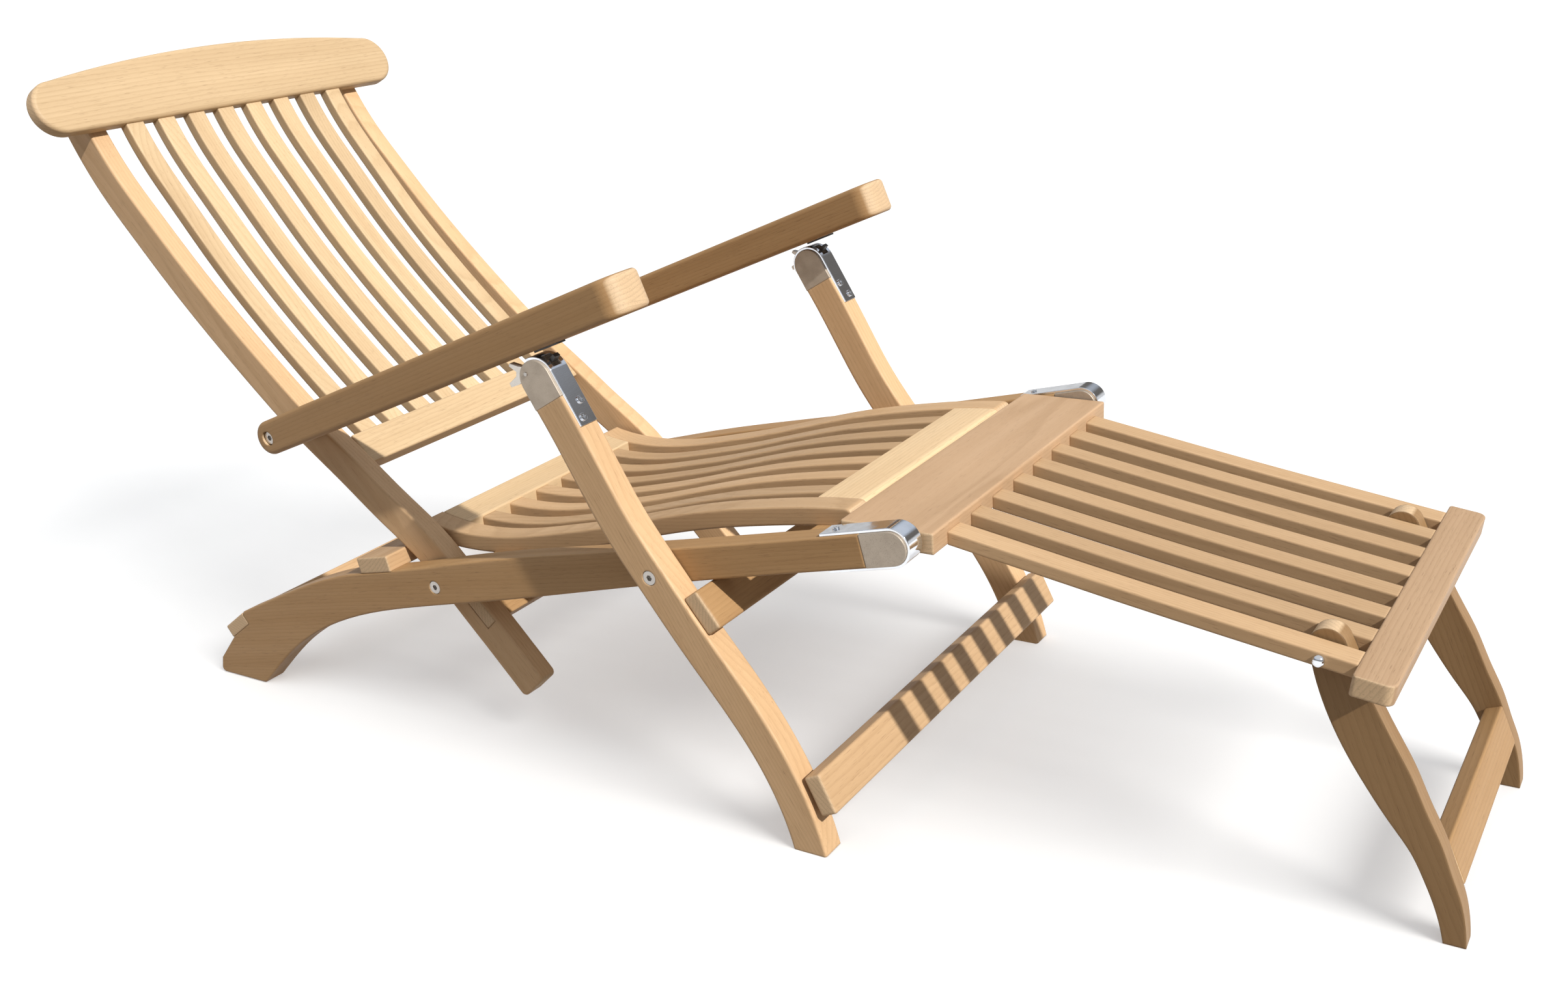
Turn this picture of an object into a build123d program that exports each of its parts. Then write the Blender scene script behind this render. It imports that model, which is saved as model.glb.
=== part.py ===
from build123d import *
import os
from math import cos, hypot, radians, sin

os.makedirs("parts", exist_ok=True)

# A teak steamer chair, open and fully reclined. +X points to the sitter's feet, +Y to the
# sitter's left, +Z up. The origin is on the floor, under the middle of the chair's length.
# Side-view positions are (x, z) pairs; distances out from the middle plane are along Y.

# ---- driving dimensions, mm ----
CLEARANCE = 1.0          # between members that swing past each other
STILE_THICK = 25.0
RAIL_THICK = 30.0
LEG_THICK = 30.0
ARM_WIDTH = 60.0
SEAT_HALF = 187.0
STILE_IN = 193.0
STILE_OUT = STILE_IN + STILE_THICK
RAIL_IN = STILE_OUT + CLEARANCE
RAIL_OUT = RAIL_IN + RAIL_THICK
LEG_IN = RAIL_OUT + CLEARANCE
LEG_OUT = LEG_IN + LEG_THICK
ARM_IN = RAIL_IN
ARM_OUT = ARM_IN + ARM_WIDTH

# pivots, side view
BACK_PIVOT = (-268.0, 191.0)
LEG_PIVOT = (67.0, 272.0)
ARM_PIVOT = (-469.0, 356.0)
FOOTREST_PIVOT = (325.0, 332.0)
FOOT_LEG_PIVOT = (698.0, 267.0)
LEG_TOP = (-50.0, 467.0)
CATCH_PIVOT = (-61.0, 472.0)

BOLT_RADIUS = 4.0
SMALL_BOLT_RADIUS = 3.0
RUNNING_FIT = 0.05       # radial clearance round a bolt that a member turns on
EASE = 2.5               # rounding of the wood's long edges
METAL_EASE = 0.6

RAIL_DEPTH = 34.0        # depth of the straight front end of a rail
RAIL_TILT = 13.0
LEG_DEPTH = 40.0
STILE_DEPTH = 42.0
ARM_DEPTH = 40.0
ARM_TILT = 21.0
ARM_LENGTH = 566.0       # pivot to tip
HEAD_TILT = 25.0         # headboard, back from the vertical
BAR_DEPTH = 44.0
BAR_THICK = 20.0

SEAT_THICK = 20.0
SEAT_MEMBERS = 8         # two side planks and six slats
SEAT_PLANK_WIDTH = 31.0
SEAT_SLAT_WIDTH = 24.0
SEAT_SLAT_SET = 2.5      # slat tops below the plank tops
BACK_SLATS = 8
BACK_SLAT_WIDTH = 25.0
BACK_SLAT_THICK = 14.0
BACK_SLAT_PITCH = 46.3
FOOT_HALF = 188.0
FOOT_MEMBERS = 8         # two stringers and six slats
STRINGER_WIDTH = 27.0
FOOT_SLAT_WIDTH = 24.0
FOOT_SLAT_THICK = 14.0
FOOT_LEG_THICK = 21.0
FOOT_LEG_OUT = FOOT_HALF - STRINGER_WIDTH - 2.5
FOOT_LEG_IN = FOOT_LEG_OUT - FOOT_LEG_THICK

STRAP_THICK = 3.0
STRAP_WIDTH = 25.0
LEG_SCREW_HEAD = 4.2     # head radius of the screws in the leg straps


# ---- helpers ----
def direction(degrees):
    """Unit (x, z) vector, measured up from +X."""
    return cos(radians(degrees)), sin(radians(degrees))


def along(start, degrees, distance, sideways=0.0):
    """Point at a distance from start in a direction, and sideways to the left of it."""
    ux, uz = direction(degrees)
    return start[0] + distance * ux - sideways * uz, start[1] + distance * uz + sideways * ux


def at(point, y=0.0):
    return Vector(point[0], y, point[1])


def smooth(points):
    return Spline(*[at(p) for p in points])


def lines(points):
    return Polyline(*[at(p) for p in points])


def slab(outline, inner, outer):
    """Solid between two distances along Y, from a closed side-view outline."""
    edges = [edge for curve in outline for edge in curve.edges()]
    face = Face(Wire(edges)).moved(Location((0, inner, 0)))
    return Solid.extrude(face, Vector(0, outer - inner, 0))


def parallel(points, offsets):
    """The points moved sideways, to the left of their run, one offset each."""
    moved = []
    last = len(points) - 1
    for i, (x, z) in enumerate(points):
        before, after = points[max(i - 1, 0)], points[min(i + 1, last)]
        run = hypot(after[0] - before[0], after[1] - before[1])
        ux, uz = (after[0] - before[0]) / run, (after[1] - before[1]) / run
        moved.append((x - offsets[i] * uz, z + offsets[i] * ux))
    return moved


def blade(rear, depth, inner, outer):
    """Curved member of even depth, from the points of one edge."""
    front = parallel(rear, [depth] * len(rear))
    ends = [lines([rear[0], front[0]]), lines([rear[-1], front[-1]])]
    return slab([smooth(rear), smooth(front)] + ends, inner, outer)


def strip(centres, depths, inner, outer):
    """Curved member of a given depth at each point of its centre line."""
    left = parallel(centres, [d / 2 for d in depths])
    right = parallel(centres, [-d / 2 for d in depths])
    ends = [lines([left[0], right[0]]), lines([left[-1], right[-1]])]
    return slab([smooth(left), smooth(right)] + ends, inner, outer)


def board(centre, tilt, width, thick, half_length):
    """Flat board across the chair, width along its tilt in side view."""
    return Location(at(centre), (0, -tilt, 0)) * Box(width, 2 * half_length, thick)


def cross_pin(point, radius, inner, outer):
    """Cylinder along Y between two distances."""
    middle = (inner + outer) / 2
    return Location(at(point, middle), (90, 0, 0)) * Cylinder(radius, outer - inner)


def eased(solid, radius=EASE):
    return fillet(solid.edges(), radius)


def rimmed(solid, radius=EASE, shortest=0.0):
    """Rounds the outline edges of both flat sides of a slab, but not the shortest ones."""
    rims = [edge for face in solid.faces().filter_by(Axis.Y) for edge in face.edges()]
    return fillet([edge for edge in rims if edge.length > shortest], radius)


def flip(shape):
    return mirror(shape, Plane.XZ)


def save(name, *solids):
    bodies = [s for shape in solids for s in shape.solids()]
    export_step(bodies[0] if len(bodies) == 1 else Compound(children=bodies), f"parts/{name}.step")


def save_pair(name, solid):
    """One mirrored pair, as two nodes. The modelled side is the left, +Y."""
    save(f"{name}_left", solid)
    save(f"{name}_right", flip(solid))


def save_both(name, *solids):
    """One node that holds the fasteners or fittings of both sides."""
    save(name, *solids, *[flip(s) for s in solids])


def slot_outline(centre, tilt, radius, length):
    """Outline of a strip end: straight sides that run back from a half-round nose."""
    top, bottom = along(centre, tilt, 0, radius), along(centre, tilt, 0, -radius)
    back_top, back_bottom = along(centre, tilt, -length, radius), along(centre, tilt, -length, -radius)
    nose = ThreePointArc(at(top), at(along(centre, tilt, radius)), at(bottom))
    return [lines([top, back_top, back_bottom, bottom]), nose]


def screw(point, tilt, y, head_radius=3.6, shank=14.0):
    """Domed wood screw, head outwards along tilt."""
    axis = Location(at(point, y), (0, 90 - tilt, 0))
    head = axis * Cylinder(head_radius, 1.6, align=(Align.CENTER, Align.CENTER, Align.MIN))
    stem = axis * Cylinder(1.8, shank, align=(Align.CENTER, Align.CENTER, Align.MAX))
    drive = axis * Location((0, 0, 1.6)) * (Box(4.6, 0.9, 1.6) + Box(0.9, 4.6, 1.6))
    return fillet((head + stem).edges().filter_by(GeomType.CIRCLE).sort_by(SortBy.RADIUS)[-1:], 0.6) - drive


def pivot_bolt(point, head_at, tip_at):
    """Socket-head pivot bolt along Y, head sunk in the outer member."""
    head = cross_pin(point, 7.5, head_at - 5, head_at)
    stem = cross_pin(point, BOLT_RADIUS, tip_at, head_at - 5)
    socket_face = Plane(at(point, head_at), x_dir=(1, 0, 0), z_dir=(0, 1, 0)) * RegularPolygon(3.4, 6)
    return head + stem - extrude(socket_face, -3)


above_floor = Pos(Z=500) * Box(4000, 4000, 1000)

# ---- side rails: the curved rear legs run forward into the seat rails ----
CAP_BACK = 30.0          # length of the metal end fitting behind its round centre
STRAIGHT = 82.0          # straight front stretch of a rail
FOOT_REAR, FOOT_FRONT = (-684.0, 0.0), (-600.0, 0.0)
REAR_BAR_TILT = 35.0
REAR_BAR_THICK = 17.0
REAR_BAR_CORNER = (-647.0, 55.0)
half_rail = RAIL_DEPTH / 2

rail_top = [(-617, 97), (-519, 142), (-427, 178), (-327, 202), (-213, 231), (-54, 266), (106, 300),
            along(FOOTREST_PIVOT, RAIL_TILT, -STRAIGHT, half_rail),
            along(FOOTREST_PIVOT, RAIL_TILT, -CAP_BACK, half_rail)]
rail_bottom = [FOOT_FRONT, (-579, 20), (-531, 62), (-468, 102), (-404, 130), (-302, 160), (-170, 192),
               (-54, 222), (98, 261), along(FOOTREST_PIVOT, RAIL_TILT, -STRAIGHT, -half_rail),
               along(FOOTREST_PIVOT, RAIL_TILT, -CAP_BACK, -half_rail)]
heel = [FOOT_FRONT, FOOT_REAR, (-678, 21), REAR_BAR_CORNER, rail_top[0]]
rail = slab([smooth(rail_top), lines([rail_top[-1], rail_bottom[-1]]), smooth(rail_bottom), lines(heel)],
            RAIL_IN, RAIL_OUT)
rail = fillet(rail.edges().filter_by(Axis.Y).sort_by(Axis.Z)[:2], 6.0)
rail = rimmed(rail, 2.0)

rear_bar_centre = along(REAR_BAR_CORNER, REAR_BAR_TILT, 22.5, REAR_BAR_THICK / 2)
rear_bar = board(rear_bar_centre, REAR_BAR_TILT, 45, REAR_BAR_THICK, RAIL_OUT)
stop_bar = board((-363, 203), 12, 52, 20, RAIL_OUT)
rail_bolt_hole = cross_pin(BACK_PIVOT, BOLT_RADIUS, RAIL_IN - 1, RAIL_OUT + 1)
rail_bolt_sink = cross_pin(BACK_PIVOT, 8.0, RAIL_OUT - 6, RAIL_OUT + 1)
leg_bolt_hole = cross_pin(LEG_PIVOT, BOLT_RADIUS, RAIL_IN - 1, RAIL_OUT + 1)
rail = rail - rear_bar - stop_bar - rail_bolt_hole - rail_bolt_sink - leg_bolt_hole
rear_bar = eased(rear_bar, 2.0)
stop_bar = eased(stop_bar, 2.0)

# metal end fitting and strap round the rail's front end
middle_rail = (RAIL_IN + RAIL_OUT) / 2
nose_cap = eased(slab(slot_outline(FOOTREST_PIVOT, RAIL_TILT, half_rail, CAP_BACK), RAIL_IN, RAIL_OUT), 0.8)
strap_in, strap_out = middle_rail - STRAP_WIDTH / 2, middle_rail + STRAP_WIDTH / 2
nose_strap = slab(slot_outline(FOOTREST_PIVOT, RAIL_TILT, half_rail + STRAP_THICK, 74), strap_in, strap_out)
nose_strap = nose_strap - slab(slot_outline(FOOTREST_PIVOT, RAIL_TILT, half_rail, 90), strap_in - 1, strap_out + 1)
nose_strap = eased(nose_strap, METAL_EASE)
strap_screws = []
for side in (1, -1):
    spot = along(FOOTREST_PIVOT, RAIL_TILT, -62, side * (half_rail + STRAP_THICK))
    strap_screws.append(screw(spot, RAIL_TILT + 90 * side, middle_rail))
hinge_pin = cross_pin(FOOTREST_PIVOT, BOLT_RADIUS, SEAT_HALF, RAIL_OUT - 4)
nose_cap = nose_cap - hinge_pin
for one in strap_screws:
    rail, nose_strap = rail - one, nose_strap - one

save_pair("rail", rail)
save("rear_crossbar", rear_bar)
save("back_stop_bar", stop_bar)
save_both("rail_nose_caps", nose_cap)
save_both("rail_nose_straps", nose_strap)
save_both("rail_strap_screws", *strap_screws)
save_both("back_pivot_bolts", pivot_bolt(BACK_PIVOT, RAIL_OUT - 0.5, STILE_IN + 2))
save_both("leg_pivot_bolts", pivot_bolt(LEG_PIVOT, LEG_OUT - 0.5, RAIL_IN))
save_both("footrest_hinge_pins", hinge_pin)

# ---- seat: dished slats between a rear and a front rail, on two bearers ----
SEAT_REAR, SEAT_NOSE = -333.0, 251.5
REAR_RAIL_FRONT, FRONT_RAIL_REAR = -290.0, 194.0
seat_line = [(SEAT_REAR, 232), (-290, 225.5), (-255, 225), (-196, 231), (-131, 245), (-71, 260), (18, 286),
             (79, 302), (144, 315), (213, 325.5), (SEAT_NOSE, 328.5)]
slat_line = parallel(seat_line, [-SEAT_SLAT_SET / 2] * len(seat_line))


def seat_piece(low_x, high_x, inner, outer, centres=seat_line, depth=SEAT_THICK):
    """Stretch of the dished seat surface between two x positions."""
    blank = strip(centres, [depth] * len(centres), inner, outer)
    window = Location(((low_x + high_x) / 2, (inner + outer) / 2, 280)) * Box(high_x - low_x, 500, 400)
    return blank & window


seat_pitch = (2 * SEAT_HALF - SEAT_PLANK_WIDTH) / (SEAT_MEMBERS - 1)
plank_in = SEAT_HALF - SEAT_PLANK_WIDTH
seat_plank = seat_piece(SEAT_REAR, SEAT_NOSE, plank_in, SEAT_HALF)
nose_edges = seat_plank.edges().filter_by(Axis.Y).sort_by(Axis.X)[-2:]
seat_plank = fillet(nose_edges, 8.0)
seat_plank = rimmed(seat_plank, 2.0, SEAT_THICK)
save_pair("seat_side_plank", seat_plank)
seat_slat = seat_piece(REAR_RAIL_FRONT, FRONT_RAIL_REAR, -SEAT_SLAT_WIDTH / 2, SEAT_SLAT_WIDTH / 2,
                       slat_line, SEAT_THICK - SEAT_SLAT_SET)
seat_slat = rimmed(seat_slat, 2.0, SEAT_SLAT_WIDTH)
for i in range(1, SEAT_MEMBERS - 1):
    save(f"seat_slat_{i}", Pos(Y=SEAT_PLANK_WIDTH / 2 - SEAT_HALF + i * seat_pitch) * seat_slat)
save("seat_rear_rail", eased(seat_piece(SEAT_REAR, REAR_RAIL_FRONT, -plank_in, plank_in), 1.5))
front_rail = seat_piece(FRONT_RAIL_REAR, SEAT_NOSE, -plank_in, plank_in)
front_rail = fillet(front_rail.edges().filter_by(Axis.Y).sort_by(Axis.X)[-2:], 8.0)
save("seat_front_rail", eased(front_rail, 1.5))
seat_surface = strip(seat_line, [SEAT_THICK] * len(seat_line), -SEAT_HALF, SEAT_HALF)
save("seat_rear_bearer", board((-203, 212), 9, 45, 20, RAIL_IN) - seat_surface)
save("seat_front_bearer", board((229, 308), 8, 34, 22, RAIL_IN) - seat_surface)

# ---- back: S-curved stiles, slats, headboard, lower rail and tail crossbar ----
head_dir = 90 + HEAD_TILT
HEAD_BASE = (-762.0, 683.0)       # back face of the headboard, just below its lower edge
stile_rear = [along(HEAD_BASE, head_dir, 70, STILE_DEPTH), along(HEAD_BASE, head_dir, 8, STILE_DEPTH),
              (-770, 619), (-728, 568), (-675, 508), (-554, 388), (-485, 328), (-430, 287), (-377, 246),
              (-317, 201), (-274, 155), (-238, 116), (-182, 54.5)]
stile = blade(stile_rear, STILE_DEPTH, STILE_IN, STILE_OUT)
stile = fillet(stile.edges().filter_by(Axis.Y).sort_by(Axis.Z)[:2], 7.0)
stile = rimmed(stile, EASE, 50)
tail_bar = board((-233, 156), -47, BAR_DEPTH, 18, STILE_OUT)
stile = stile - tail_bar
stile = stile - cross_pin(BACK_PIVOT, BOLT_RADIUS + RUNNING_FIT, STILE_IN - 1, STILE_OUT + 1)
stile = stile - cross_pin(ARM_PIVOT, BOLT_RADIUS, STILE_IN - 1, STILE_OUT + 1)
save_pair("stile", stile)
save("back_tail_crossbar", eased(tail_bar, 2.0))

lower_rail = eased(board((-419, 316), 134, 42, 22, STILE_IN), 2.0)
save("back_lower_rail", lower_rail)

HEAD_HALF, HEAD_END_RADIUS, HEAD_LOW, HEAD_CROWN, HEAD_THICK = 284.0, 33.0, 7.0, 91.0, 20.0
TENON = 12.0             # slat ends inside the headboard
slat_top = along(HEAD_BASE, head_dir, HEAD_LOW + TENON, STILE_DEPTH)
slat_rear = parallel([slat_top] + stile_rear[2:8], [44, 41, 38.5, 34.5, 29.5, 28.5, 28.3])
back_slat = blade(slat_rear, BACK_SLAT_THICK, -BACK_SLAT_WIDTH / 2, BACK_SLAT_WIDTH / 2)
back_slat = (rimmed(back_slat, 1.5, BACK_SLAT_WIDTH) - lower_rail).solids().sort_by(Axis.Z)[-1]
middle_slat = (BACK_SLATS - 1) / 2
back_slats = [Pos(Y=(i - middle_slat) * BACK_SLAT_PITCH) * back_slat for i in range(BACK_SLATS)]
for i, one in enumerate(back_slats):
    save(f"back_slat_{i + 1}", one)

end_y = HEAD_HALF - HEAD_END_RADIUS
end_top = HEAD_LOW + 2 * HEAD_END_RADIUS
head_plane = Plane(at(HEAD_BASE), x_dir=(0, 1, 0), z_dir=(cos(radians(HEAD_TILT)), 0, sin(radians(HEAD_TILT))))
middle_end = HEAD_LOW + HEAD_END_RADIUS
head_edges = [Line((-end_y, HEAD_LOW), (end_y, HEAD_LOW)),
              ThreePointArc((end_y, HEAD_LOW), (HEAD_HALF, middle_end), (end_y, end_top)),
              ThreePointArc((end_y, end_top), (0, HEAD_CROWN), (-end_y, end_top)),
              ThreePointArc((-end_y, end_top), (-HEAD_HALF, middle_end), (-end_y, HEAD_LOW))]
headboard = eased(extrude(head_plane * Face(Wire(head_edges)), HEAD_THICK), 5.0)
for one in back_slats:
    headboard = headboard - one
save("headboard", headboard)
save_both("arm_pivot_bolts", pivot_bolt(ARM_PIVOT, ARM_OUT - 3, STILE_IN + 2))

# ---- front legs with their two crossbars, end fittings and straps ----
leg_top_tilt = 119.5
leg_shoulder = along(LEG_TOP, leg_top_tilt, -27)
leg_line = [leg_shoulder, (5, 369), (33, 320), (67, 272), (114, 209), (154, 159), (197, 96), (230, 20), (236, -4)]
leg_depths = [LEG_DEPTH] * 6 + [38, 38, 38]
leg = strip(leg_line, leg_depths, LEG_IN, LEG_OUT)
leg = leg & above_floor
leg = rimmed(leg, EASE, 50)
BAR_INSET = 4.0
upper_bar = board((125.5, 242), -53, BAR_DEPTH, BAR_THICK, LEG_OUT - BAR_INSET)
lower_bar = board((249, 67), -65, BAR_DEPTH, BAR_THICK, LEG_OUT - BAR_INSET)
leg = leg - upper_bar - lower_bar
leg = leg - cross_pin(LEG_PIVOT, BOLT_RADIUS + RUNNING_FIT, LEG_IN - 1, LEG_OUT + 1)
leg = leg - cross_pin(LEG_PIVOT, 8.0, LEG_OUT - 6, LEG_OUT + 1)

half_leg = LEG_DEPTH / 2
middle_leg = (LEG_IN + LEG_OUT) / 2
leg_cap = eased(slab(slot_outline(LEG_TOP, leg_top_tilt, half_leg, 27), LEG_IN, LEG_OUT), 0.8)
strap_in, strap_out = middle_leg - STRAP_WIDTH / 2, middle_leg + STRAP_WIDTH / 2
leg_strap = slab(slot_outline(LEG_TOP, leg_top_tilt, half_leg + STRAP_THICK, 63), strap_in, strap_out)
leg_strap = rimmed(leg_strap, METAL_EASE)
leg_strap = leg_strap - slab(slot_outline(LEG_TOP, leg_top_tilt, half_leg, 90), strap_in - 1, strap_out + 1)
rear_flange = Location(at(along(LEG_TOP, leg_top_tilt, -50, 22)), (0, -leg_top_tilt, 0)) * Box(104, 700, 12)
leg_strap = leg_strap - rear_flange
SLOT_ANGLE = 57.0
HOOK_ANGLE = 52.0
hook_slot = Location(at(along(LEG_TOP, SLOT_ANGLE, 22), middle_leg), (0, 90 - SLOT_ANGLE, 0)) * Box(17, 13, 14)
leg_strap, leg_cap = leg_strap - hook_slot, leg_cap - hook_slot
leg_screws = []
for distance, across in ((38, -4), (55, 4)):
    spot = along(LEG_TOP, leg_top_tilt, -distance, -(half_leg + STRAP_THICK))
    leg_screws.append(screw(spot, leg_top_tilt - 90, middle_leg + across, LEG_SCREW_HEAD))
for one in leg_screws:
    leg_strap = leg_strap - one
leg = leg - leg_strap - leg_cap - leg_screws[0] - leg_screws[1]

# forked catch lever in a slot at the back of each end fitting
CATCH_THICK = 7.0
catch_out = LEG_OUT - 3.0
catch_in = catch_out - CATCH_THICK
catch_fork = [(-64, 478), (-73, 478), (-84, 480), (-85, 477), (-76, 472), (-77, 467), (-87, 459), (-85, 455),
              (-74, 459), (-65, 465)]
catch = slab([lines(catch_fork + catch_fork[:1])], catch_in, catch_out)
catch = catch + cross_pin(CATCH_PIVOT, 7.0, catch_in, catch_out)
catch = catch - cross_pin(CATCH_PIVOT, 2.0 + RUNNING_FIT, catch_in - 1, catch_out + 1)
catch_slot = cross_pin(CATCH_PIVOT, 8.2, catch_in - 0.5, catch_out + 0.5)
slot_mouth = Location(at((-76, 468), (catch_in + catch_out) / 2)) * Box(30, CATCH_THICK + 1, 44)
catch_pin = cross_pin(CATCH_PIVOT, 2.0, catch_in - 8, LEG_OUT + 1.2)
leg_cap = leg_cap - catch_slot - slot_mouth - catch_pin
leg_strap = leg_strap - catch_slot - slot_mouth

save_pair("front_leg", leg)
save("leg_upper_crossbar", eased(upper_bar, 3.0))
save("leg_lower_crossbar", eased(lower_bar, 3.0))
save_both("leg_end_caps", leg_cap)
save_both("leg_straps", leg_strap)
save_both("leg_strap_screws", *leg_screws)
save_both("catch_pins", catch_pin)
save_pair("arm_catch", catch)

# ---- armrests with their hooks ----
ARM_NOSE_RADIUS = 21.0
arm_rear = slab(slot_outline(ARM_PIVOT, ARM_TILT + 180, ARM_DEPTH / 2, 60), ARM_IN, ARM_OUT)
arm_middle = (ARM_IN + ARM_OUT) / 2
arm_body_centre = along(ARM_PIVOT, ARM_TILT, (60 + ARM_LENGTH) / 2)
arm_body = Box(ARM_LENGTH - 60, ARM_WIDTH, ARM_DEPTH)
nose_edges = arm_body.edges().filter_by(Axis.Z).sort_by(Axis.X)[-2:]
arm_body = fillet(nose_edges, ARM_NOSE_RADIUS)
arm = arm_rear + Location(at(arm_body_centre, arm_middle), (0, -ARM_TILT, 0)) * arm_body
arm = eased(arm, 5.5)
arm = arm - cross_pin(ARM_PIVOT, BOLT_RADIUS + RUNNING_FIT, ARM_IN - 1, ARM_OUT + 1)
arm = arm - cross_pin(ARM_PIVOT, 8.5, ARM_OUT - 9, ARM_OUT + 1)
save_pair("armrest", arm)

HOOK_REACH = 22.3        # tip of the hook, out from the centre of the leg's round top
hook_spot = along(ARM_PIVOT, ARM_TILT, 445, -ARM_DEPTH / 2)
hook_plate = Location(at(hook_spot, middle_leg), (0, -ARM_TILT, 0)) * Location((8, 0, -1)) * Box(34, 12, 2)
hook_tip = along(LEG_TOP, HOOK_ANGLE, HOOK_REACH)
hook_tongue = Location(at(hook_tip, middle_leg), (0, 90 - HOOK_ANGLE, 0)) * Pos(Z=4) * Box(4, 8, 8)
save_pair("arm_hook", hook_plate + hook_tongue)

# ---- footrest: hinge board, slats, stringers and end board ----
HINGE_CENTRE, HINGE_WIDTH, HINGE_THICK = (304.5, 329.0), 99.0, 22.0
hinge_board = eased(board(HINGE_CENTRE, 0, HINGE_WIDTH, HINGE_THICK, RAIL_IN - 2), 2.0)
board_hole = cross_pin(FOOTREST_PIVOT, BOLT_RADIUS + RUNNING_FIT, SEAT_HALF - 1, RAIL_IN)
hinge_board = hinge_board - board_hole - flip(board_hole)
foot_line = [(340, 327.2), (430, 311.5), (540, 292.5), (640, 276.5), (745, 260)]
END_TILT, END_WIDTH, END_THICK, END_HALF = -8.0, 36.0, 20.0, 209.0
END_CENTRE = (746.3, 257.3)
foot_window = Pos(X=500, Z=300) * Box(500, 800, 200)
foot_window = foot_window - board(HINGE_CENTRE, 0, HINGE_WIDTH, 400, 400)
foot_window = foot_window - board(along(END_CENTRE, END_TILT, 100 - END_WIDTH / 2), END_TILT, 200, 400, 400)
end_board = board(END_CENTRE, END_TILT, END_WIDTH, END_THICK, END_HALF)
corners = [edge for edge in end_board.edges() if abs(edge.length - END_THICK) < 0.1]
corners.sort(key=lambda edge: edge.center().X)
end_board = fillet(corners[:2], 3.5)
front_corners = [edge for edge in end_board.edges() if abs(edge.length - END_THICK) < 0.1]
front_corners.sort(key=lambda edge: edge.center().X)
end_board = eased(fillet(front_corners[-2:], 9.0), 1.5)


def foot_member(width):
    """Member of the curved footrest deck, its middle in the middle plane."""
    blank = strip(foot_line, [FOOT_SLAT_THICK] * len(foot_line), -width / 2, width / 2)
    return rimmed(blank & foot_window, 1.5, width)


stringer = Pos(Y=FOOT_HALF - STRINGER_WIDTH / 2) * foot_member(STRINGER_WIDTH)
stringer = stringer - cross_pin(FOOT_LEG_PIVOT, SMALL_BOLT_RADIUS, 100, FOOT_HALF + 1)
save("footrest_hinge_board", hinge_board)
save("footrest_end_board", end_board)
save_pair("footrest_stringer", stringer)
foot_pitch = (2 * FOOT_HALF - STRINGER_WIDTH) / (FOOT_MEMBERS - 1)
foot_slat = foot_member(FOOT_SLAT_WIDTH)
middle_member = (FOOT_MEMBERS - 1) / 2
foot_slats = [Pos(Y=(i - middle_member) * foot_pitch) * foot_slat for i in range(1, FOOT_MEMBERS - 1)]
save("footrest_slats", *foot_slats)
foot_bolt = cross_pin(FOOT_LEG_PIVOT, SMALL_BOLT_RADIUS, FOOT_LEG_IN, FOOT_HALF)
cap_nut = cross_pin(FOOT_LEG_PIVOT, 5.5, FOOT_HALF, FOOT_HALF + 6)
cap_nut = fillet(cap_nut.edges().filter_by(GeomType.CIRCLE).sort_by(Axis.Y)[-1:], 4.5)
save_both("footrest_leg_bolts", foot_bolt + cap_nut)

# ---- footrest legs ----
foot_leg_line = [FOOT_LEG_PIVOT, (715, 222), (738, 177), (756, 147), (774, 116), (791, 88), (801, 65),
                 (810, 43), (816, 22), (820, -3)]
foot_leg_depths = [33, 41, 43, 41, 34, 28, 25, 24, 22, 19]
foot_leg = strip(foot_leg_line, foot_leg_depths, FOOT_LEG_IN, FOOT_LEG_OUT)
foot_leg = foot_leg + cross_pin(FOOT_LEG_PIVOT, 16.5, FOOT_LEG_IN, FOOT_LEG_OUT)
foot_leg = foot_leg & above_floor
foot_leg_bar = board((805, 67), -68, 42, 18, FOOT_LEG_IN)
foot_leg = foot_leg - cross_pin(FOOT_LEG_PIVOT, SMALL_BOLT_RADIUS + RUNNING_FIT, 100, 300)
save_pair("footrest_leg", foot_leg)
save("footrest_leg_crossbar", eased(foot_leg_bar, 2.0))
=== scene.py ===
"""Looks for the teak folding deck chair: procedural wood and metal, floor, light and camera."""

import random
from math import cos, radians, sin

import bpy
from mathutils import Matrix, Vector

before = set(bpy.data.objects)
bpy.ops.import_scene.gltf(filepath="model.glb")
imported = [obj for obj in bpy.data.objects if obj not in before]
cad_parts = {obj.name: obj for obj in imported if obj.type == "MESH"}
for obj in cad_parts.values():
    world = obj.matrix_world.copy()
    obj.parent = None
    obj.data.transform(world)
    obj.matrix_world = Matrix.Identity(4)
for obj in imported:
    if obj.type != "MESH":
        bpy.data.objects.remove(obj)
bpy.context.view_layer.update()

MM = 0.001


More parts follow.
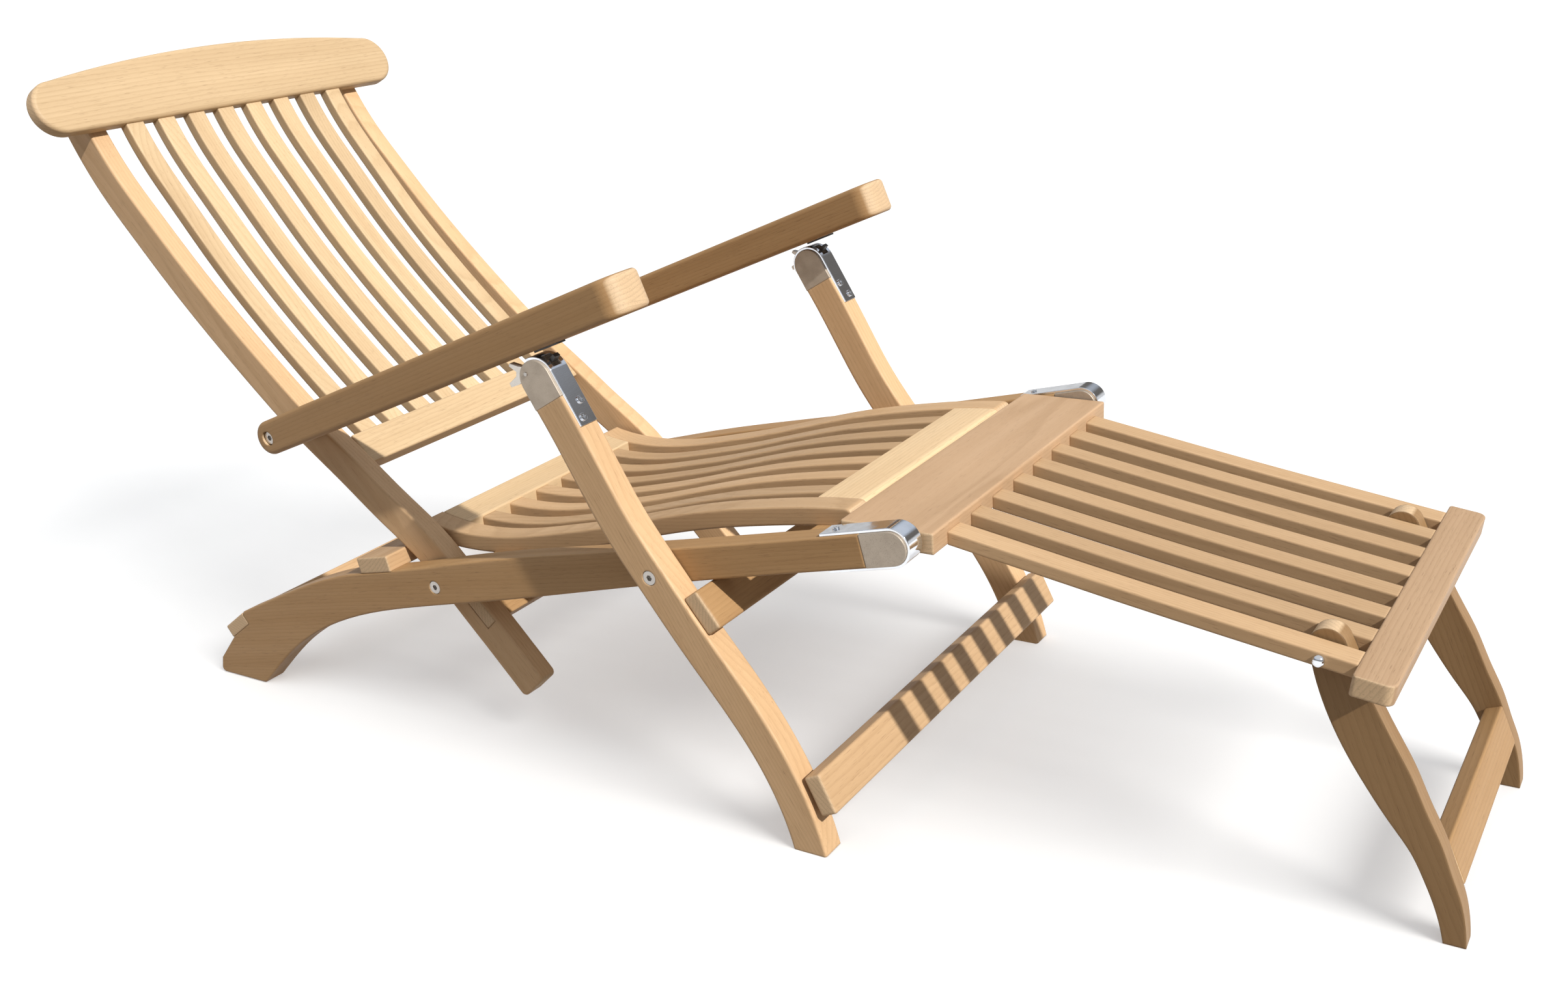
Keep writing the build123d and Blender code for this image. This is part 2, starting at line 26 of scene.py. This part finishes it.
# ---- node helpers ----
class Graph:
    """The node tree of a material or world, with short calls for the nodes it is built from."""

    def __init__(self, owner):
        owner.use_nodes = True
        self.owner = owner
        self.tree = owner.node_tree
        self.tree.nodes.clear()

    def node(self, kind, **inputs):
        made = self.tree.nodes.new(kind)
        for key, value in inputs.items():
            self.feed(made.inputs[key.replace("_", " ")], value)
        return made

    def feed(self, socket, value):
        if isinstance(value, bpy.types.NodeSocket):
            self.tree.links.new(value, socket)
        elif value is not None:
            socket.default_value = value

    def math(self, operation, *values, clamp=False):
        made = self.tree.nodes.new("ShaderNodeMath")
        made.operation = operation
        made.use_clamp = clamp
        for socket, value in zip(made.inputs, values):
            self.feed(socket, value)
        return made.outputs[0]

    def ramp(self, value, *stops):
        """Colour ramp; a stop is a position with a grey level or a colour."""
        made = self.tree.nodes.new("ShaderNodeValToRGB")
        self.feed(made.inputs[0], value)
        points = made.color_ramp.elements
        while len(points) < len(stops):
            points.new(0.5)
        for point, (position, colour) in zip(points, stops):
            point.position = position
            point.color = rgba(colour if isinstance(colour, tuple) else (colour, colour, colour))
        return made.outputs[0]

    def noise(self, vector, scale, detail=2.0, roughness=0.5):
        """Noise with its own scale along each axis."""
        stretched = self.node("ShaderNodeVectorMath", Vector=vector)
        stretched.operation = "MULTIPLY"
        stretched.inputs[1].default_value = scale
        made = self.node("ShaderNodeTexNoise", Vector=stretched.outputs[0], Scale=1.0, Detail=detail,
                         Roughness=roughness)
        return made.outputs["Fac"]

    def mix(self, factor, a, b):
        made = self.tree.nodes.new("ShaderNodeMix")
        made.data_type = "RGBA"
        factor_socket, a_socket, b_socket = made.inputs[0], made.inputs[6], made.inputs[7]
        self.feed(factor_socket, factor)
        self.feed(a_socket, a)
        self.feed(b_socket, b)
        return made.outputs[2]

    def worn_edge(self, radius):
        """Normal that rounds every edge over the given radius."""
        made = self.node("ShaderNodeBevel", Radius=radius)
        made.samples = 4
        return made.outputs[0]

    def finish(self, shader, output="ShaderNodeOutputMaterial"):
        out = self.tree.nodes.new(output)
        self.tree.links.new(shader, out.inputs[0])
        return self.owner


def rgba(colour):
    return (*colour, 1.0)


def shade(colour, factor, hue=(1.0, 1.0, 1.0)):
    """The colour made lighter or darker, after hue has weighed its red, green and blue."""
    return tuple(min(1.0, part * weight * factor) for part, weight in zip(colour, hue))


# ---- teak ----
SAWN = (0.56, 0.40, 0.245)      # tone of sawn ends
RING_PITCH = 4.2 * MM           # between growth rings
PITH_FOLD = 400 * MM            # distance at which the rings turn back on themselves
TEAK_EDGE = 2.6 * MM            # rounding radius of the rubbed edges


def teak(name, tilt, tone, seed):
    """Solid-wood teak. tilt is the grain's slope in the side view, or None for grain across the chair."""
    draw = random.Random(seed)
    g = Graph(bpy.data.materials.new(name))
    turned = (0, 0, radians(-90)) if tilt is None else (0, radians(tilt), 0)
    coordinates = g.node("ShaderNodeTexCoord").outputs
    place = g.node("ShaderNodeMapping", Vector=coordinates["Object"], Rotation=turned)
    place.inputs["Location"].default_value = [draw.uniform(-3, 3) for _ in range(3)]
    grain = place.outputs[0]        # X runs along the fibres

    # growth rings round a pith that lies outside the board
    drift = g.noise(grain, (1.1, 6, 6))
    wobble = g.noise(grain, (5, 40, 40), 3.0)
    across = g.node("ShaderNodeSeparateXYZ", Vector=grain)
    pith_y, pith_z = draw.uniform(0.03, 0.08), draw.uniform(0.02, 0.06)
    local_y = g.math("SUBTRACT", g.math("PINGPONG", across.outputs[1], PITH_FOLD), pith_y)
    local_z = g.math("SUBTRACT", g.math("PINGPONG", across.outputs[2], PITH_FOLD), pith_z)
    reach = g.math("SQRT", g.math("ADD", g.math("POWER", local_y, 2.0), g.math("POWER", local_z, 2.0)))
    reach = g.math("ADD", reach, g.math("MULTIPLY", drift, 30 * MM))
    reach = g.math("ADD", reach, g.math("MULTIPLY", wobble, 3.5 * MM))
    ring = g.math("FRACT", g.math("MULTIPLY", reach, 1 / RING_PITCH))
    rings = g.ramp(ring, (0.0, 0.15), (0.55, 0.35), (0.88, 1.0), (1.0, 0.15))

    # long streaks, fine fibres, short dark pores and broad pale clouds
    streaks = g.ramp(g.noise(grain, (1.6, 55, 55), 3.0, 0.55), (0.33, 0.0), (0.68, 1.0))
    fibres = g.noise(grain, (14, 620, 620), 4.0, 0.6)
    pores = g.ramp(g.noise(grain, (60, 1500, 1500)), (0.62, 0.0), (0.72, 1.0))
    clouds = g.ramp(g.noise(grain, (4, 14, 14), 3.0, 0.6), (0.3, 0.0), (0.7, 1.0))
    base = rgba(tone)
    for mask, amount, factor, hue in (
        (rings, 0.55, 0.66, (1.0, 0.93, 0.82)),
        (streaks, 0.45, 0.68, (1.0, 0.9, 0.78)),
        (clouds, 0.28, 1.22, (1.0, 1.0, 1.0)),
        (fibres, 0.35, 0.72, (1.0, 0.92, 0.8)),
        (pores, 0.45, 0.33, (1.0, 0.8, 0.6)),
    ):
        base = g.mix(g.math("MULTIPLY", mask, amount), base, rgba(shade(tone, factor, hue)))

    # sawn ends: dull, dotted with open pores and crossed by the growth rings
    turn = g.node("ShaderNodeMapping", Vector=coordinates["Normal"], Rotation=turned)
    turn.vector_type = "NORMAL"
    along_fibres = g.node("ShaderNodeSeparateXYZ", Vector=turn.outputs[0]).outputs[0]
    sawn = g.ramp(g.math("ABSOLUTE", along_fibres), (0.52, 0.0), (0.7, 1.0))
    dots = g.ramp(g.noise(grain, (900, 900, 900)), (0.55, 0.0), (0.68, 1.0))
    sawn_tone = g.mix(g.math("MULTIPLY", rings, 0.6), rgba(shade(SAWN, 1.08)), rgba(shade(SAWN, 0.75)))
    sawn_tone = g.mix(g.math("MULTIPLY", dots, 0.4), sawn_tone, rgba(shade(SAWN, 0.5)))
    base = g.mix(sawn, base, sawn_tone)

    # rubbed, paler edges, found where the rounded normal leaves the true one
    rounded = g.worn_edge(TEAK_EDGE)
    facing = g.node("ShaderNodeVectorMath")
    facing.operation = "DOT_PRODUCT"
    g.feed(facing.inputs[0], rounded)
    g.feed(facing.inputs[1], g.node("ShaderNodeNewGeometry").outputs["Normal"])
    edge = g.ramp(facing.outputs["Value"], (0.9, 1.0), (0.995, 0.0))
    rub = g.math("ADD", g.math("MULTIPLY", clouds, 0.35), 0.15)
    base = g.mix(g.math("MULTIPLY", edge, rub, clamp=True), base, rgba(shade(tone, 1.3, (1.0, 1.03, 1.1))))

    rough = g.math("ADD", 0.5, g.math("MULTIPLY", streaks, 0.1))
    height = g.math("ADD", g.math("MULTIPLY", fibres, 0.5), g.math("MULTIPLY", rings, 0.25))
    height = g.math("SUBTRACT", height, g.math("MULTIPLY", pores, 0.8))
    bump = g.node("ShaderNodeBump", Height=height, Strength=0.22, Distance=0.4 * MM, Normal=rounded)
    skin = g.node("ShaderNodeBsdfPrincipled", Base_Color=base, Roughness=rough, Normal=bump.outputs[0],
                  Specular_IOR_Level=0.35)
    return g.finish(skin.outputs[0])


# ---- metals ----
METAL_EDGE = 0.5 * MM


def metal(name, colour, gloss, relief=0.05 * MM, metallic=1.0, speck=0.0):
    """Metal with faint rub marks, uneven gloss and, for castings, a grained skin.

    gloss is the lowest and highest roughness, relief the depth of the surface marks and speck how
    strongly the grain shows.
    """
    g = Graph(bpy.data.materials.new(name))
    where = g.node("ShaderNodeTexCoord").outputs["Object"]
    smear = g.noise(where, (60, 60, 60), 4.0, 0.6)
    scuff = g.noise(where, (900, 120, 900), 3.0, 0.6)
    grain = g.noise(where, (1400, 1400, 1400))
    smooth, dull = gloss
    rough = g.ramp(smear, (0.35, smooth), (0.7, dull))
    tint = g.mix(g.ramp(smear, (0.4, 0.0), (0.75, 0.4)), rgba(colour), rgba(shade(colour, 0.72)))
    grained = g.ramp(grain, (0.55, 0.0), (0.7, 1.0))
    tint = g.mix(g.math("MULTIPLY", grained, speck), tint, rgba(shade(colour, 0.5)))
    height = g.math("ADD", g.math("MULTIPLY", scuff, 0.5), g.math("MULTIPLY", grain, speck + 0.1))
    bump = g.node("ShaderNodeBump", Height=height, Strength=0.3, Distance=relief,
                  Normal=g.worn_edge(METAL_EDGE))
    skin = g.node("ShaderNodeBsdfPrincipled", Base_Color=tint, Roughness=rough, Normal=bump.outputs[0],
                  Metallic=metallic)
    return g.finish(skin.outputs[0])


CHROME = metal("chrome", (0.84, 0.86, 0.9), (0.05, 0.16))
BOLT = metal("bolt_steel", (0.46, 0.43, 0.40), (0.22, 0.42), relief=0.08 * MM, speck=0.15)
CAST = metal("cast_fitting", (0.46, 0.39, 0.315), (0.42, 0.6), relief=0.14 * MM, metallic=0.45, speck=0.5)
DARK = metal("dark_steel", (0.09, 0.085, 0.08), (0.4, 0.6), relief=0.02 * MM, metallic=0.6, speck=0.1)
CATCH = metal("catch_steel", (0.62, 0.58, 0.53), (0.25, 0.45), relief=0.1 * MM, metallic=0.9, speck=0.2)

# ---- a grain slope and a tone for every wooden piece, and a metal for the fittings ----
PALE = (0.66, 0.49, 0.30)
WARM = (0.54, 0.365, 0.21)
# painted shade: a darker, redder brown for the pieces seen mostly in shade, which are the rails, armrests,
# seat bearers, the crossbars under the seat and at the back's tail, and the footrest legs and their
# crossbar
SHADED_BROWN = (0.43, 0.262, 0.122)
RED = (0.52, 0.35, 0.215)
# Each piece's tone is made lighter or darker one by one. This is partly the wood's own tone, partly
# painted light on the sunlit stiles, front legs and front rail, and partly painted shade on the shaded
# pieces.
WOOD = {
    "rail": (12, SHADED_BROWN),
    "rear_crossbar": (None, WARM),
    "back_stop_bar": (None, WARM),
    "seat_rear_bearer": (None, SHADED_BROWN),
    "seat_front_bearer": (None, SHADED_BROWN),
    "seat_side_plank": (9, WARM),
    "seat_front_rail": (None, shade(PALE, 1.16)),
    "seat_rear_rail": (None, PALE),
    "seat_slat": (9, WARM),
    "stile": (-48, shade(WARM, 1.2)),
    "headboard": (None, shade(PALE, 0.88)),
    "back_lower_rail": (None, shade(PALE, 0.8)),
    "back_tail_crossbar": (None, SHADED_BROWN),
    "back_slat": (-48, shade(PALE, 0.94)),
    "front_leg": (-60, shade(WARM, 1.15)),
    "leg_upper_crossbar": (None, SHADED_BROWN),
    "leg_lower_crossbar": (None, shade(WARM, 0.95)),
    "armrest": (21, shade(SHADED_BROWN, 0.9)),
    "footrest_hinge_board": (None, RED),
    "footrest_stringer": (-9, WARM),
    "footrest_slats": (-9, WARM),
    "footrest_end_board": (None, shade(RED, 0.93)),
    "footrest_leg": (-68, shade(SHADED_BROWN, 0.76)),
    "footrest_leg_crossbar": (None, shade(SHADED_BROWN, 0.88)),
}
METAL = {
    "rail_nose_caps": CAST,
    "leg_end_caps": CAST,
    "arm_hook": DARK,
    "arm_catch": CATCH,
    "back_pivot_bolts": BOLT,
    "leg_pivot_bolts": BOLT,
    "arm_pivot_bolts": BOLT,
    "catch_pins": BOLT,
}
FIRST_TONE_SEED = 1000


def family(node):
    """The node's name without its side or its number."""
    name = node.removesuffix("_left").removesuffix("_right")
    return name.rstrip("0123456789").rstrip("_")


for number, (node, thing) in enumerate(sorted(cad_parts.items())):
    kind = family(node)
    if kind in WOOD:
        tilt, tone = WOOD[kind]
        vary = random.Random(FIRST_TONE_SEED + number).uniform(0.9, 1.1)
        material = teak("teak_" + node, tilt, shade(tone, vary), number)
    else:
        material = METAL.get(kind, CHROME)      # straps, their screws, hinge pins, footrest leg bolts
    for slot in thing.material_slots:
        slot.material = material

# ---- floor ----
FLOOR_HALF = 40.0
FLOOR_DROP = 0.5 * MM           # keeps the floor clear of the feet's faces
FLOOR_GLOW = 0.3
floor_mesh = bpy.data.meshes.new("floor")
corners = [(x * FLOOR_HALF, y * FLOOR_HALF, 0) for x, y in ((-1, -1), (1, -1), (1, 1), (-1, 1))]
floor_mesh.from_pydata(corners, [], [(0, 1, 2, 3)])
floor = bpy.data.objects.new("floor", floor_mesh)
bpy.context.scene.collection.objects.link(floor)
floor.location = (0, 0, -FLOOR_DROP)
floor.visible_diffuse = False   # a near-white floor would light the wood's undersides too strongly
g = Graph(bpy.data.materials.new("pale_floor"))
speckle = g.noise(g.node("ShaderNodeTexCoord").outputs["Object"], (3, 3, 3), 4.0)
paint = g.ramp(speckle, (0.3, (0.80, 0.795, 0.785)), (0.7, (0.84, 0.835, 0.825)))
skin = g.node("ShaderNodeBsdfPrincipled", Base_Color=paint, Roughness=0.9,
              Emission_Color=(1.0, 1.0, 1.0, 1.0), Emission_Strength=FLOOR_GLOW)
floor_mesh.materials.append(g.finish(skin.outputs[0]))

# ---- light ----
SKY_STRENGTH = 0.72
SKY = (
    (0.0, (0.34, 0.26, 0.18)),      # straight down: dim, warm light from the ground
    (0.485, (0.34, 0.26, 0.18)),
    (0.495, (1.0, 1.0, 1.0)),       # pale band on the horizon, at 0.5
    (0.555, (1.0, 1.0, 1.0)),
    (0.60, (0.20, 0.185, 0.17)),    # dark walls above it
    (0.69, (0.22, 0.205, 0.19)),
    (0.75, (0.80, 0.88, 1.0)),      # bright ceiling, cool at its rim
    (0.95, (1.0, 1.0, 1.0)),
)
world = bpy.data.worlds.new("studio")
bpy.context.scene.world = world
g = Graph(world)
direction = g.node("ShaderNodeSeparateXYZ", Vector=g.node("ShaderNodeTexCoord").outputs["Generated"])
rise = g.math("MULTIPLY_ADD", direction.outputs[2], 0.5, 0.5)
backdrop = g.node("ShaderNodeBackground", Color=g.ramp(rise, *SKY), Strength=SKY_STRENGTH)
g.finish(backdrop.outputs[0], "ShaderNodeOutputWorld")

TOWARDS_SUN = Vector((0.74, -0.18, 0.65))


def sun(name, strength, angle, colour, receivers):
    """Directional light on the given objects only; a wider angle gives softer shadows."""
    lit = bpy.data.collections.new(name + "_lit")
    for thing in receivers:
        lit.objects.link(thing)
    data = bpy.data.lights.new(name, "SUN")
    data.energy = strength
    data.angle = radians(angle)
    data.color = colour
    lamp = bpy.data.objects.new(name, data)
    lamp.rotation_euler = TOWARDS_SUN.to_track_quat("Z", "Y").to_euler()
    bpy.context.scene.collection.objects.link(lamp)
    lamp.light_linking.receiver_collection = lit


sun("key", 4.5, 1.2, (1.0, 0.97, 0.92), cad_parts.values())
sun("floor_key", 2.4, 26.0, (1.0, 0.99, 0.97), [floor])

# ---- camera ----
YAW, PITCH, ROLL = 2.1471882, 0.3532246, -0.0709551     # radians
EYE = (0.97914, -1.42535, 0.88873)
away = Vector((cos(PITCH) * cos(YAW), cos(PITCH) * sin(YAW), -sin(PITCH)))
level = away.cross(Vector((0, 0, 1))).normalized()
upright = level.cross(away)
right = level * cos(ROLL) + upright * sin(ROLL)
up = upright * cos(ROLL) - level * sin(ROLL)
camera_data = bpy.data.cameras.new("camera")
camera_data.sensor_width = 36.0
camera_data.lens = 36.376
camera_data.clip_end = 200.0
camera = bpy.data.objects.new("camera", camera_data)
axes = Matrix((right, up, -away)).transposed().to_4x4()
camera.matrix_world = Matrix.Translation(EYE) @ axes
bpy.context.scene.collection.objects.link(camera)
bpy.context.scene.camera = camera
bpy.context.scene.view_settings.view_transform = "Standard"
